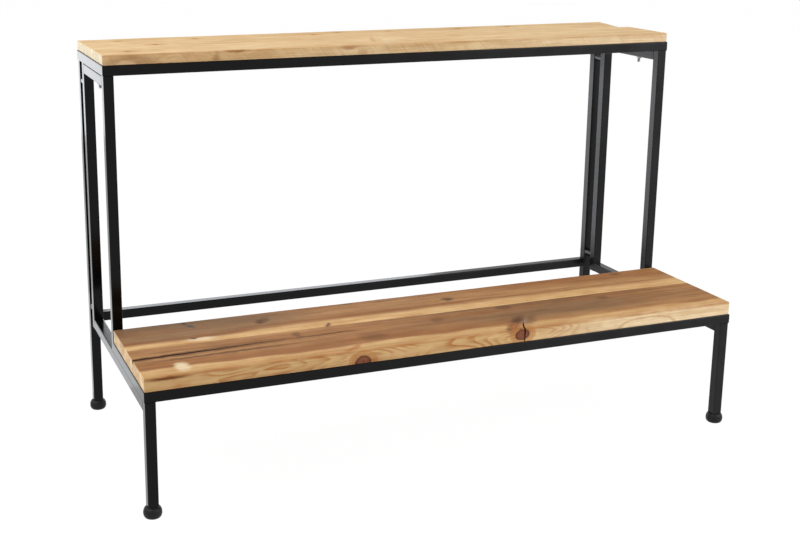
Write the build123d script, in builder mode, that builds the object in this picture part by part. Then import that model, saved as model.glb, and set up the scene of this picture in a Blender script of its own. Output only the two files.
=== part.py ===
"""Two-step plant shelf: wooden planks on welded square-tube frames, with levelling feet.

Millimetres. X runs along the shelves, Y from front to back, Z up from the floor.
"""
import os
from math import sqrt

from build123d import *

os.makedirs("parts", exist_ok=True)

# Driving sizes of the whole shelf
SHELF_LENGTH = 1000.0
SHELF_DEPTH = 220.0
LOWER_TOP = 195.0
UPPER_TOP = 630.0
STEP_GAP = 2.0

# Square steel tube
TUBE = 16.0
WALL = 1.5
TUBE_CORNER = 1.5
SIDE_INSET = 1.0
POST_GAP = 20.0

# Planks
LOWER_BOARD = 21.5
UPPER_BOARD = 15.5
BOARD_INSET = 1.0
PLANK_GAP = 0.8
FRONT_PLANK = 119.0
PLANK_EDGE = 1.5
SKEW_CUT = 20.0

# Drying split that opens from the left end of the lower front plank
SPLIT_WIDTH = 5.0
SPLIT_LENGTH = 250.0
SPLIT_FROM_FRONT = 75.0
SPLIT_DRIFT = 14.0
SPLIT_DEPTH = 5.0

# Levelling feet: a round base, a stud that spins in it, a threaded plug in the leg
FOOT_RADIUS = 14.0
FOOT_SOLE_RADIUS = 9.5
FOOT_NECK_RADIUS = 9.0
FOOT_HEIGHT = 16.5
FOOT_WIDEST = 7.5
FOOT_SOLE = 4.0
STUD_RADIUS = 4.0
STUD_DISC_RADIUS = 6.5
STUD_DISC = 4.0
STUD_END_CHAMFER = 1.0
FOOT_TRAVEL = 10.0
PLUG_FLANGE = 1.5
PLUG_LENGTH = 2 * FOOT_TRAVEL
PLUG_LEAD = 1.0
RUNNING_FIT = 0.05

# Bolts that hold the rear frame to the side frames
FRAME_BOLT_RADIUS = 3.0
FRAME_BOLT_FLATS = 10.0
FRAME_BOLT_HEAD = 4.0
FRAME_NUT_FLATS = 10.0
FRAME_NUT = 5.0
SLEEVE_RADIUS = 7.5
FRAME_BOLT_DROP = 32.0
FRAME_BOLT_RISE = 14.0

# Bolts that hold the shelf frames to the side frames
SHELF_BOLT_RADIUS = 2.5
SHELF_BOLT_FLATS = 8.0
SHELF_BOLT_HEAD = 3.5
SHELF_BOLT_TIP = 6.5
SHELF_BOLT_FROM_EDGE = 70.0
SHELF_NUT_FLATS = 8.0
SHELF_NUT = 4.0
SPACER_RADIUS = 5.0
SPACER = 1.0
POCKET_ROOM = 0.8

# Screws that hold the planks down on the shelf frames
SCREW_RADIUS = 2.0
SCREW_HEAD_RADIUS = 4.0
SCREW_HEAD = 2.4
SCREW_BITE = 10.0
SCREW_FROM_END = 100.0
SCREW_ACCESS_ROOM = 0.5

HOLE_ROOM = 0.25
THREAD_ROOM = 0.05
BOLT_PAST_NUT = 0.6

# Places that follow from the sizes above
HALF_TUBE = TUBE / 2
FRONT = -(2 * SHELF_DEPTH + STEP_GAP) / 2
BACK = -FRONT
UPPER_FRONT = BACK - SHELF_DEPTH
SIDE = SHELF_LENGTH / 2 - SIDE_INSET
TUBE_X = -SIDE + HALF_TUBE
LOWER_FRAME_BOTTOM = LOWER_TOP - TUBE
UPPER_FRAME_BOTTOM = UPPER_TOP - TUBE
BOTTOM_RAIL_TOP = LOWER_FRAME_BOTTOM - SPACER
SIDE_RAIL_BOTTOM = BOTTOM_RAIL_TOP - TUBE
TOP_RAIL_TOP = UPPER_FRAME_BOTTOM - SPACER
TOP_RAIL_BOTTOM = TOP_RAIL_TOP - TUBE
LEG_BOTTOM = FOOT_HEIGHT + PLUG_FLANGE
FRONT_LEG_Y = FRONT + HALF_TUBE
FRONT_POST_Y = UPPER_FRONT + HALF_TUBE
REAR_LEG_Y = BACK - HALF_TUBE
BACK_POST_Y = REAR_LEG_Y - TUBE - POST_GAP
POCKET_RADIUS = SHELF_BOLT_FLATS / sqrt(3) + POCKET_ROOM
FRAME_BOLT_LEVELS = (BOTTOM_RAIL_TOP + FRAME_BOLT_RISE, TOP_RAIL_TOP - FRAME_BOLT_DROP)
LEGS = {
    "front_left": (TUBE_X, FRONT_LEG_Y),
    "front_right": (-TUBE_X, FRONT_LEG_Y),
    "rear_left": (TUBE_X, REAR_LEG_Y),
    "rear_right": (-TUBE_X, REAR_LEG_Y),
}


def keep(piece, name):
    """Name a finished piece and write its file."""
    piece.part.label = name
    export_step(piece.part, f"parts/{name}.step")


def keep_pair(left_piece, name):
    """Keep a left-hand piece and its mirror image on the right."""
    keep(left_piece, f"left_{name}")
    with BuildPart() as right_piece:
        mirror(left_piece.part, about=Plane.YZ)
    keep(right_piece, f"right_{name}")


def tube_section():
    """Draw the section of the square tube in the sketch that is open."""
    RectangleRounded(TUBE, TUBE, TUBE_CORNER)
    Rectangle(TUBE - 2 * WALL, TUBE - 2 * WALL, mode=Mode.SUBTRACT)


def crosswise(x, y, z):
    """A plane that looks along the depth of the shelf, for pieces that run front to back."""
    return Plane(origin=(x, y, z), x_dir=(1, 0, 0), z_dir=(0, 1, 0))


def frame_bolt_points():
    """Where the rear frame's bolts cross the left side, in the crosswise plane."""
    return [(TUBE_X, -level) for level in FRAME_BOLT_LEVELS]


def shelf_bolt_depths(front):
    """How far back bolts hold one end of a frame; the upper frame's back is welded to the rear legs."""
    near = front + SHELF_BOLT_FROM_EDGE
    if front == UPPER_FRONT:
        return (near,)
    return (near, front + SHELF_DEPTH - SHELF_BOLT_FROM_EDGE)


def shelf_bolt_points():
    """Every bolt of both shelf frames: x, y and the top of its frame."""
    places = []
    for front, top in ((FRONT, LOWER_TOP), (UPPER_FRONT, UPPER_TOP)):
        for x in (TUBE_X, -TUBE_X):
            for y in shelf_bolt_depths(front):
                places.append((x, y, top))
    return places


def screw_points(front):
    """The screws of one shelf: three along its front rail and three along its back rail."""
    rails = (front + HALF_TUBE, front + SHELF_DEPTH - HALF_TUBE)
    reach = SHELF_LENGTH / 2 - SCREW_FROM_END
    return [(x, y) for y in rails for x in (-reach, 0, reach)]


# Shelf frames: four mitred rails each
def mitred_rail(origin, along, length):
    """A tube with mitred ends whose outer face stands on the origin's line."""
    base = Plane(origin=origin, x_dir=along, z_dir=(0, 0, 1))
    half = length / 2
    with BuildPart() as rail:
        with BuildSketch(base):
            Polygon((-half, 0), (half, 0), (half - TUBE, TUBE), (TUBE - half, TUBE), align=None)
        extrude(amount=TUBE)
        fillet(rail.edges().filter_by(Axis(origin, along)), radius=TUBE_CORNER)
        inner = TUBE - WALL
        with BuildSketch(base.offset(WALL)):
            Polygon(
                (WALL - half, WALL), (half - WALL, WALL),
                (half - inner, inner), (inner - half, inner), align=None,
            )
        extrude(amount=TUBE - 2 * WALL, mode=Mode.SUBTRACT)
    return rail


def drill_down(piece, points, radius, top, depth):
    """Return the piece with upright holes at the given points."""
    with BuildPart() as drilled:
        add(piece.part)
        with BuildSketch(Plane.XY.offset(top)):
            with Locations(*points):
                Circle(radius)
        extrude(amount=-depth, mode=Mode.SUBTRACT)
    return drilled


def screw_holes(rail, points, top):
    """Drill the rail's upper wall for screws, and its lower wall so that their heads pass."""
    drilled = drill_down(rail, points, SCREW_RADIUS + HOLE_ROOM, top, WALL)
    lower_wall = top - TUBE + WALL
    return drill_down(drilled, points, SCREW_HEAD_RADIUS + SCREW_ACCESS_ROOM, lower_wall, WALL)


def shelf_frame(level, front, top):
    """Make the four rails of one shelf frame, drilled for screws and bolts."""
    bottom = top - TUBE
    half_length = SHELF_LENGTH / 2
    middle = front + SHELF_DEPTH / 2
    front_rail = mitred_rail((0, front, bottom), (1, 0, 0), SHELF_LENGTH)
    back_rail = mitred_rail((0, front + SHELF_DEPTH, bottom), (-1, 0, 0), SHELF_LENGTH)
    left_rail = mitred_rail((-half_length, middle, bottom), (0, -1, 0), SHELF_DEPTH)
    screws = screw_points(front)
    half_count = len(screws) // 2
    front_rail = screw_holes(front_rail, screws[:half_count], top)
    back_rail = screw_holes(back_rail, screws[half_count:], top)
    bolts = [(TUBE_X, y) for y in shelf_bolt_depths(front)]
    left_rail = drill_down(left_rail, bolts, SHELF_BOLT_RADIUS + HOLE_ROOM, top, TUBE)
    keep(front_rail, f"{level}_shelf_front_rail")
    keep(back_rail, f"{level}_shelf_back_rail")
    keep_pair(left_rail, f"{level}_shelf_end_rail")


shelf_frame("lower", FRONT, LOWER_TOP)
shelf_frame("upper", UPPER_FRONT, UPPER_TOP)

# Side frames: a short front leg, two posts and two rails on each side
with BuildPart() as front_leg:
    with BuildSketch(Plane.XY.offset(LEG_BOTTOM)):
        with Locations((TUBE_X, FRONT_LEG_Y)):
            tube_section()
    extrude(amount=LOWER_FRAME_BOTTOM - LEG_BOTTOM)
keep_pair(front_leg, "front_leg")

with BuildPart() as front_post:
    with BuildSketch(Plane.XY.offset(BOTTOM_RAIL_TOP)):
        with Locations((TUBE_X, FRONT_POST_Y)):
            tube_section()
    extrude(amount=UPPER_FRAME_BOTTOM - BOTTOM_RAIL_TOP)
keep_pair(front_post, "front_post")

with BuildPart() as back_post:
    with BuildSketch(Plane.XY.offset(SIDE_RAIL_BOTTOM)):
        with Locations((TUBE_X, BACK_POST_Y)):
            RectangleRounded(TUBE, TUBE, TUBE_CORNER)
    extrude(amount=UPPER_FRAME_BOTTOM - SIDE_RAIL_BOTTOM)
    with BuildSketch(Plane.XY.offset(SIDE_RAIL_BOTTOM + WALL)):
        with Locations((TUBE_X, BACK_POST_Y)):
            Rectangle(TUBE - 2 * WALL, TUBE - 2 * WALL)
    extrude(amount=UPPER_FRAME_BOTTOM - SIDE_RAIL_BOTTOM - WALL, mode=Mode.SUBTRACT)
    with BuildSketch(crosswise(0, BACK_POST_Y, 0)):
        with Locations(*frame_bolt_points()):
            Circle(FRAME_BOLT_RADIUS + HOLE_ROOM)
    extrude(amount=HALF_TUBE, mode=Mode.SUBTRACT)
keep_pair(back_post, "back_post")


def side_rail(start, end, bottom, bolts):
    """A rail of the left side frame from one upright to the next, drilled for shelf bolts."""
    with BuildPart() as rail:
        with BuildSketch(crosswise(TUBE_X, start, bottom + HALF_TUBE)):
            tube_section()
        extrude(amount=end - start)
    return drill_down(rail, bolts, SHELF_BOLT_RADIUS + HOLE_ROOM, bottom + TUBE, TUBE)


bottom_rail = side_rail(
    FRONT + TUBE, BACK_POST_Y - HALF_TUBE, SIDE_RAIL_BOTTOM,
    [(TUBE_X, y) for y in shelf_bolt_depths(FRONT)],
)
keep_pair(bottom_rail, "bottom_rail")

top_rail = side_rail(
    UPPER_FRONT + TUBE, BACK_POST_Y - HALF_TUBE, TOP_RAIL_BOTTOM,
    [(TUBE_X, y) for y in shelf_bolt_depths(UPPER_FRONT)],
)
keep_pair(top_rail, "top_rail")

# Rear frame: two full legs and a cross rail
with BuildPart() as rear_leg:
    with BuildSketch(Plane.XY.offset(LEG_BOTTOM)):
        with Locations((TUBE_X, REAR_LEG_Y)):
            tube_section()
    extrude(amount=UPPER_FRAME_BOTTOM - LEG_BOTTOM)
    with BuildSketch(crosswise(0, REAR_LEG_Y - HALF_TUBE, 0)):
        with Locations(*frame_bolt_points()):
            Circle(FRAME_BOLT_RADIUS + HOLE_ROOM)
    extrude(amount=TUBE, mode=Mode.SUBTRACT)
keep_pair(rear_leg, "rear_leg")

with BuildPart() as rear_cross_rail:
    with BuildSketch(Plane(origin=(-SIDE + TUBE, REAR_LEG_Y, SIDE_RAIL_BOTTOM + HALF_TUBE),
                           x_dir=(0, 1, 0), z_dir=(1, 0, 0))):
        tube_section()
    extrude(amount=2 * (SIDE - TUBE))
keep(rear_cross_rail, "rear_cross_rail")

# Planks, with pockets underneath for the heads of the shelf bolts
def plank(left, right, near, far, bottom, thickness, skew=0):
    """A plank whose top edges are eased; a skew shortens its right end at the near edge."""
    with BuildPart() as board:
        with BuildSketch(Plane.XY.offset(bottom)):
            Polygon((left, near), (right - skew, near), (right, far), (left, far), align=None)
        extrude(amount=thickness)
        fillet(board.faces().sort_by(Axis.Z)[-1].edges(), radius=PLANK_EDGE)
    return board


def fixed_plank(board, bottom, screws, bolts):
    """The plank with blind holes for its screws and pockets for the bolt heads."""
    with BuildPart() as drilled:
        add(board.part)
        with BuildSketch(Plane.XY.offset(bottom)):
            with Locations(*screws):
                Circle(SCREW_RADIUS + THREAD_ROOM)
        extrude(amount=SCREW_BITE, mode=Mode.SUBTRACT)
        with BuildSketch(Plane.XY.offset(bottom)):
            with Locations(*bolts):
                Circle(POCKET_RADIUS)
        extrude(amount=SHELF_BOLT_HEAD + POCKET_ROOM, mode=Mode.SUBTRACT)
    return drilled


def shelf_planks(front, bottom, thickness, skew=0):
    """The front and back planks of one shelf."""
    left = -SHELF_LENGTH / 2 + BOARD_INSET
    right = -left
    near = front + BOARD_INSET
    far = front + SHELF_DEPTH - BOARD_INSET
    seam = near + FRONT_PLANK
    front_plank = plank(left, right, near, seam, bottom, thickness)
    back_plank = plank(left, right, seam + PLANK_GAP, far, bottom, thickness, skew)
    screws = screw_points(front)
    half_count = len(screws) // 2
    bolts = [(x, y) for x in (TUBE_X, -TUBE_X) for y in shelf_bolt_depths(front)]
    front_plank = fixed_plank(front_plank, bottom, screws[:half_count], bolts)
    back_plank = fixed_plank(back_plank, bottom, screws[half_count:], bolts)
    return front_plank, back_plank


lower_front, lower_back_plank = shelf_planks(FRONT, LOWER_TOP, LOWER_BOARD)
upper_front_plank, upper_back_plank = shelf_planks(UPPER_FRONT, UPPER_TOP, UPPER_BOARD, SKEW_CUT)

with BuildPart() as lower_front_plank:
    add(lower_front.part)
    split_start = -SHELF_LENGTH / 2
    split_y = FRONT + SPLIT_FROM_FRONT
    with BuildSketch(Plane.XY.offset(LOWER_TOP + LOWER_BOARD)):
        Polygon(
            (split_start, split_y - SPLIT_WIDTH / 2),
            (split_start + SPLIT_LENGTH, split_y + SPLIT_DRIFT),
            (split_start, split_y + SPLIT_WIDTH / 2), align=None,
        )
    extrude(amount=-SPLIT_DEPTH, mode=Mode.SUBTRACT)

keep(lower_front_plank, "lower_front_plank")
keep(lower_back_plank, "lower_back_plank")
keep(upper_front_plank, "upper_front_plank")
keep(upper_back_plank, "upper_back_plank")

# Levelling feet
def upright_plane(x, y):
    """A plane through a leg's centre line in which a turned profile is drawn."""
    return Plane(origin=(x, y, 0), x_dir=(1, 0, 0), z_dir=(0, -1, 0))


for place, (leg_x, leg_y) in LEGS.items():
    centre_line = Axis((leg_x, leg_y, 0), (0, 0, 1))
    disc_top = FOOT_SOLE + STUD_DISC
    bore = STUD_RADIUS + RUNNING_FIT
    socket = STUD_DISC_RADIUS + RUNNING_FIT
    with BuildPart() as foot:
        with BuildSketch(upright_plane(leg_x, leg_y)):
            with BuildLine():
                EllipticalCenterArc(
                    (FOOT_SOLE_RADIUS, FOOT_WIDEST), FOOT_RADIUS - FOOT_SOLE_RADIUS, FOOT_WIDEST,
                    start_angle=270, arc_size=90,
                )
                EllipticalCenterArc(
                    (FOOT_NECK_RADIUS, FOOT_WIDEST), FOOT_RADIUS - FOOT_NECK_RADIUS,
                    FOOT_HEIGHT - FOOT_WIDEST, start_angle=0, arc_size=90,
                )
                Polyline(
                    (FOOT_NECK_RADIUS, FOOT_HEIGHT), (bore, FOOT_HEIGHT), (bore, disc_top),
                    (socket, disc_top), (socket, FOOT_SOLE), (0, FOOT_SOLE), (0, 0),
                    (FOOT_SOLE_RADIUS, 0),
                )
            make_face()
        revolve(axis=centre_line)
    keep(foot, f"foot_{place}")

    with BuildPart() as stud:
        with BuildSketch(Plane.XY.offset(FOOT_SOLE)):
            with Locations((leg_x, leg_y)):
                Circle(STUD_DISC_RADIUS)
        extrude(amount=STUD_DISC - RUNNING_FIT)
        with BuildSketch(Plane.XY.offset(FOOT_SOLE)):
            with Locations((leg_x, leg_y)):
                Circle(STUD_RADIUS)
        extrude(amount=FOOT_HEIGHT + PLUG_LENGTH - FOOT_SOLE)
        chamfer(stud.edges().sort_by(Axis.Z)[-1], length=STUD_END_CHAMFER)
    keep(stud, f"stud_{place}")

with BuildPart() as leg_plugs:
    with BuildSketch(Plane.XY.offset(FOOT_HEIGHT)):
        with Locations(*LEGS.values()):
            RectangleRounded(TUBE, TUBE, TUBE_CORNER)
    extrude(amount=PLUG_FLANGE)
    with BuildSketch(Plane.XY.offset(LEG_BOTTOM)):
        with Locations(*LEGS.values()):
            Rectangle(TUBE - 2 * WALL, TUBE - 2 * WALL)
    extrude(amount=PLUG_LENGTH - PLUG_FLANGE)
    chamfer(leg_plugs.faces().group_by(Axis.Z)[-1].edges(), length=PLUG_LEAD)
    with BuildSketch(Plane.XY.offset(FOOT_HEIGHT)):
        with Locations(*LEGS.values()):
            Circle(STUD_RADIUS + RUNNING_FIT)
    extrude(amount=PLUG_LENGTH, mode=Mode.SUBTRACT)
keep(leg_plugs, "leg_plugs")

# Fasteners
frame_bolt_places = [
    (side * TUBE_X, -level) for side in (1, -1) for level in FRAME_BOLT_LEVELS]
post_back = BACK_POST_Y + HALF_TUBE
nut_front = post_back - WALL - FRAME_NUT
bolt_tip = nut_front - BOLT_PAST_NUT

with BuildPart() as frame_bolts:
    with BuildSketch(crosswise(0, BACK, 0)):
        with Locations(*frame_bolt_places):
            RegularPolygon(FRAME_BOLT_FLATS / 2, side_count=6, major_radius=False)
    extrude(amount=FRAME_BOLT_HEAD)
    with BuildSketch(crosswise(0, bolt_tip, 0)):
        with Locations(*frame_bolt_places):
            Circle(FRAME_BOLT_RADIUS)
    extrude(amount=BACK - bolt_tip)
keep(frame_bolts, "frame_bolts")

with BuildPart() as frame_sleeves:
    with BuildSketch(crosswise(0, post_back, 0)):
        with Locations(*frame_bolt_places):
            Circle(SLEEVE_RADIUS)
            Circle(FRAME_BOLT_RADIUS + HOLE_ROOM, mode=Mode.SUBTRACT)
    extrude(amount=POST_GAP)
keep(frame_sleeves, "frame_sleeves")

with BuildPart() as frame_nuts:
    with BuildSketch(crosswise(0, nut_front, 0)):
        with Locations(*frame_bolt_places):
            RegularPolygon(FRAME_NUT_FLATS / 2, side_count=6, major_radius=False)
            Circle(FRAME_BOLT_RADIUS + THREAD_ROOM, mode=Mode.SUBTRACT)
    extrude(amount=FRAME_NUT)
keep(frame_nuts, "frame_nuts")

shelf_bolt_length = 2 * TUBE + SPACER + SHELF_NUT + SHELF_BOLT_TIP

with BuildPart() as shelf_bolts:
    for bolt_x, bolt_y, frame_top in shelf_bolt_points():
        with BuildSketch(Plane.XY.offset(frame_top)):
            with Locations((bolt_x, bolt_y)):
                RegularPolygon(SHELF_BOLT_FLATS / 2, side_count=6, major_radius=False)
        extrude(amount=SHELF_BOLT_HEAD)
        with BuildSketch(Plane.XY.offset(frame_top)):
            with Locations((bolt_x, bolt_y)):
                Circle(SHELF_BOLT_RADIUS)
        extrude(amount=-shelf_bolt_length)
keep(shelf_bolts, "shelf_bolts")

with BuildPart() as shelf_spacers:
    for bolt_x, bolt_y, frame_top in shelf_bolt_points():
        with BuildSketch(Plane.XY.offset(frame_top - TUBE)):
            with Locations((bolt_x, bolt_y)):
                Circle(SPACER_RADIUS)
                Circle(SHELF_BOLT_RADIUS + HOLE_ROOM, mode=Mode.SUBTRACT)
        extrude(amount=-SPACER)
keep(shelf_spacers, "shelf_spacers")

with BuildPart() as shelf_nuts:
    for bolt_x, bolt_y, frame_top in shelf_bolt_points():
        with BuildSketch(Plane.XY.offset(frame_top - 2 * TUBE - SPACER)):
            with Locations((bolt_x, bolt_y)):
                RegularPolygon(SHELF_NUT_FLATS / 2, side_count=6, major_radius=False)
                Circle(SHELF_BOLT_RADIUS + THREAD_ROOM, mode=Mode.SUBTRACT)
        extrude(amount=-SHELF_NUT)
keep(shelf_nuts, "shelf_nuts")

with BuildPart() as board_screws:
    for front, frame_top in ((FRONT, LOWER_TOP), (UPPER_FRONT, UPPER_TOP)):
        with BuildSketch(Plane.XY.offset(frame_top - WALL)):
            with Locations(*screw_points(front)):
                Circle(SCREW_HEAD_RADIUS)
        extrude(amount=-SCREW_HEAD)
        with BuildSketch(Plane.XY.offset(frame_top - WALL)):
            with Locations(*screw_points(front)):
                Circle(SCREW_RADIUS)
        extrude(amount=WALL + SCREW_BITE)
keep(board_screws, "board_screws")
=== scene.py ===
# %% [markdown]
# A two-step plant shelf
#
# The real object is a low front shelf and a high back shelf, each of two planks on a welded frame of
# black square tube, standing on four screw-in feet. The frame comes from CAD with every size settled.
# This lesson dresses it: a camera and a studio first, then finishes for the steel, then planks, feet
# and fasteners that are worth looking at closely.

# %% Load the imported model
import math
import bmesh
import bpy
from mathutils import Matrix, Vector, noise


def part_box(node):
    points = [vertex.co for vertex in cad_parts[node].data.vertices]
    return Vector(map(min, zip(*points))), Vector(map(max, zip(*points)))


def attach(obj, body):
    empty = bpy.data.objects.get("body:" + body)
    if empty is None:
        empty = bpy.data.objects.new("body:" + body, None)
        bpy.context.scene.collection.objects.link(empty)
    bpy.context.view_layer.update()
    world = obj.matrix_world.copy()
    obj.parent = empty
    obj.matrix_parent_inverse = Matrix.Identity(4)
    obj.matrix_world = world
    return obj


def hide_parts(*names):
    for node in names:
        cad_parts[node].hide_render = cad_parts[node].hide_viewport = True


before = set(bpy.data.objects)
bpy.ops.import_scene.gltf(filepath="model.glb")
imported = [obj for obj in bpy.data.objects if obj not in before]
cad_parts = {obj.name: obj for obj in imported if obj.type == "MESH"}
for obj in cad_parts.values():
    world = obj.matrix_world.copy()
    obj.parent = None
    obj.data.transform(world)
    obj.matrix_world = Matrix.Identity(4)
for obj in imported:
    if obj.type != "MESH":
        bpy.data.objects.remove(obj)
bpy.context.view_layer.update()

scene = bpy.context.scene
scene.view_settings.view_transform = "Standard"
print("nodes loaded:", len(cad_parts))

# %% [markdown]
# The camera stands to the left of the shelf, a little above the upper boards, and looks slightly down.
# The picture is a crop, so its optical centre isn't in the middle. Blender has lens shift for that:
# it slides the picture without turning the camera, so upright legs stay nearly upright.

# %% Camera
IMAGE_WIDTH = 800
IMAGE_HEIGHT = 533
FOCAL_PIXELS = 1250
CENTRE_ACROSS = 331.4
CENTRE_DOWN = 197.4
CAMERA_PLACE = Vector((-0.8404, -1.8542, 0.8714))
CAMERA_PAN = math.radians(-20.85)
CAMERA_TILT = math.radians(90 - 13.38)
CAMERA_ROLL = math.radians(0.19)
SENSOR_WIDTH = 36


def put_in_scene(name, data):
    """Make an object of a camera, a lamp or a mesh, and link it."""
    thing = bpy.data.objects.new(name, data)
    scene.collection.objects.link(thing)
    return thing


lens = bpy.data.cameras.new("camera")
lens.sensor_width = SENSOR_WIDTH
lens.lens = FOCAL_PIXELS / IMAGE_WIDTH * SENSOR_WIDTH
lens.shift_x = (IMAGE_WIDTH / 2 - CENTRE_ACROSS) / IMAGE_WIDTH
lens.shift_y = (CENTRE_DOWN - IMAGE_HEIGHT / 2) / IMAGE_WIDTH
camera = put_in_scene("camera", lens)
pan = Matrix.Rotation(CAMERA_PAN, 4, "Z")
tilt = Matrix.Rotation(CAMERA_TILT, 4, "X")
roll = Matrix.Rotation(CAMERA_ROLL, 4, "Z")
camera.matrix_world = Matrix.Translation(CAMERA_PLACE) @ pan @ tilt @ roll
scene.camera = camera
print("lens:", round(lens.lens, 1), "mm")

# %% [markdown]
# Every finish here is a tree of shader nodes. Wiring nodes by hand takes four lines each, so a small
# bench does the wiring: each of its methods adds one node, feeds it, and gives back its output. An
# input may be a plain number or the output of another node.


# %% A bench for shader nodes
class Bench:
    """Adds nodes to one material or world and joins them."""

    def __init__(self, owner):
        owner.use_nodes = True
        self.owner = owner
        self.nodes = owner.node_tree.nodes
        self.links = owner.node_tree.links
        self.nodes.clear()
        self.place = self.nodes.new("ShaderNodeTexCoord").outputs["Object"]

    def add(self, kind, inputs=(), **settings):
        node = self.nodes.new(kind)
        for name, value in settings.items():
            setattr(node, name, value)
        for key, value in dict(inputs).items():
            if isinstance(value, bpy.types.NodeSocket):
                self.links.new(value, node.inputs[key])
            else:
                node.inputs[key].default_value = value
        return node

    def reckon(self, operation, *values):
        return self.add("ShaderNodeMath", enumerate(values), operation=operation).outputs[0]

    def times(self, first, second):
        return self.reckon("MULTIPLY", first, second)

    def axes(self, vector=None):
        """The X, Y and Z of a vector, or of the place if none is given."""
        return self.add("ShaderNodeSeparateXYZ", {0: vector or self.place}).outputs

    def fade(self, value, start, end, low=0.0, high=1.0):
        """From low to high while value goes from start to end, eased at both ends."""
        numbers = (value, start, end, low, high)
        return self.add("ShaderNodeMapRange", enumerate(numbers), interpolation_type="SMOOTHSTEP").outputs[0]

    def cloud(self, scale, detail=2.0, rough=0.5, place=None):
        """Noise whose lumps repeat scale times in a metre along X, Y and Z."""
        spread = self.add("ShaderNodeMapping", {"Vector": place or self.place, "Scale": scale})
        inputs = {"Vector": spread.outputs[0], "Scale": 1.0, "Detail": detail, "Roughness": rough}
        return self.add("ShaderNodeTexNoise", inputs).outputs[0]

    def spot(self, centre, reach, edge=0.0, turn=0.0, place=None):
        """A soft patch: 1 at its centre, or within edge of it, and 0 at its reach."""
        inputs = {"Location": centre, "Scale": reach, "Rotation": (0, 0, turn)}
        inputs["Vector"] = place or self.place
        local = self.add("ShaderNodeMapping", inputs, vector_type="TEXTURE")
        away = self.add("ShaderNodeVectorMath", {0: local.outputs[0]}, operation="LENGTH").outputs["Value"]
        return self.fade(away, 1.0, edge)

    def tint(self, amount, under, over, blend="MIX"):
        inputs = {0: amount, 6: under, 7: over}
        return self.add("ShaderNodeMix", inputs, data_type="RGBA", blend_type=blend).outputs[2]

    def bump(self, height, depth, strength=1.0):
        inputs = {"Height": height, "Distance": depth, "Strength": strength}
        return self.add("ShaderNodeBump", inputs).outputs[0]

    def surface(self, **inputs):
        words = {name.replace("_", " "): value for name, value in inputs.items()}
        shader = self.add("ShaderNodeBsdfPrincipled", words)
        self.add("ShaderNodeOutputMaterial", {"Surface": shader.outputs[0]})
        return self.owner


def new_finish(name):
    return Bench(bpy.data.materials.new(name))


def colour(red, green, blue):
    """A colour picked on a screen, 0 to 255, as the light values that shaders use."""
    parts = []
    for part in (red, green, blue):
        share = part / 255
        parts.append(share / 12.92 if share <= 0.04045 else ((share + 0.055) / 1.055) ** 2.4)
    return (*parts, 1.0)


# %% [markdown]
# The studio is a white sweep. The background has to be white in the picture without flooding the shelf
# with light, so the world and the floor look white only to the camera and to reflections. For lighting,
# both are plain, and the floor still takes the shelf's shadow.

# %% World
WORLD_LEVEL = 0.38
WHITE = (1.0, 1.0, 1.0, 1.0)


def seen_directly(bench):
    """1 for rays that show the background, 0 for rays that light the object."""
    path = bench.add("ShaderNodeLightPath")
    seen = bench.reckon("MAXIMUM", path.outputs["Is Camera Ray"], path.outputs["Is Glossy Ray"])
    return bench.reckon("MAXIMUM", seen, path.outputs["Is Transmission Ray"])


world = bpy.data.worlds.new("studio")
scene.world = world
sky = Bench(world)
sky_level = sky.fade(seen_directly(sky), 0.0, 1.0, WORLD_LEVEL, 1.0)
sky_light = sky.add("ShaderNodeBackground", {"Strength": sky_level, "Color": WHITE})
sky.add("ShaderNodeOutputWorld", {"Surface": sky_light.outputs[0]})
print("world level for lighting:", WORLD_LEVEL)

# %% Floor
FLOOR_SIZE = 60.0
FLOOR_COLOUR = (0.9, 0.9, 0.9, 1.0)
FLOOR_GLOW = 0.95
GLOW_LEVEL = 1.03


def finished_mesh(name, grid):
    mesh = bpy.data.meshes.new(name)
    grid.to_mesh(mesh)
    grid.free()
    return mesh


sweep = new_finish("white_sweep")
paper = sweep.add("ShaderNodeBsdfDiffuse", {"Color": FLOOR_COLOUR})
glow = sweep.add("ShaderNodeEmission", {"Color": WHITE, "Strength": GLOW_LEVEL})
glow_share = sweep.times(seen_directly(sweep), FLOOR_GLOW)
mixed = sweep.add("ShaderNodeMixShader", {0: glow_share, 1: paper.outputs[0], 2: glow.outputs[0]})
sweep.add("ShaderNodeOutputMaterial", {"Surface": mixed.outputs[0]})

floor_grid = bmesh.new()
bmesh.ops.create_grid(floor_grid, x_segments=1, y_segments=1, size=FLOOR_SIZE / 2)
floor_mesh = finished_mesh("floor", floor_grid)
floor = put_in_scene("floor", floor_mesh)
floor_mesh.materials.append(sweep.owner)
print("floor:", FLOOR_SIZE, "m across")

# %% [markdown]
# Area lamps give a studio's soft shadows, and the larger a lamp is, the softer they are. A large one
# stands high at the left, a weaker one at the right front, and a low wide one behind at the left, which
# the black tubes pick up as a pale sheen on their sides. Two weak lamps are seen by mirror reflections
# alone, as white cards would be: one behind the shelf, for the left sides of the right-hand posts, and
# one on the floor at the left, for the lower left rails.

# %% Lamps
MIDDLE = Vector((0, 0, 0.35))
WHITE_LIGHT = (1.0, 1.0, 1.0)
COOL_LIGHT = (0.9, 0.94, 1.0)
LAMPS = (
    ("key_lamp", Vector((-2.8, -0.5, 3.6)), (2.2, 2.2), 126, WHITE_LIGHT),
    ("fill_lamp", Vector((1.5, -1.5, 1.15)), (1.0, 1.0), 20, WHITE_LIGHT),
    ("rim_lamp", Vector((-1.4, 2.6, 0.35)), (2.2, 0.7), 7, COOL_LIGHT),
)
CARDS = (
    ("back_card", Vector((0.05, 0.85, 0.24)), (0.8, 0.46), 2.9, COOL_LIGHT, MIDDLE),
    ("floor_card", Vector((-0.66, 0.58, 0.003)), (0.3, 0.6), 0.25, COOL_LIGHT, Vector((-0.66, 0.58, 1))),
)


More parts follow.
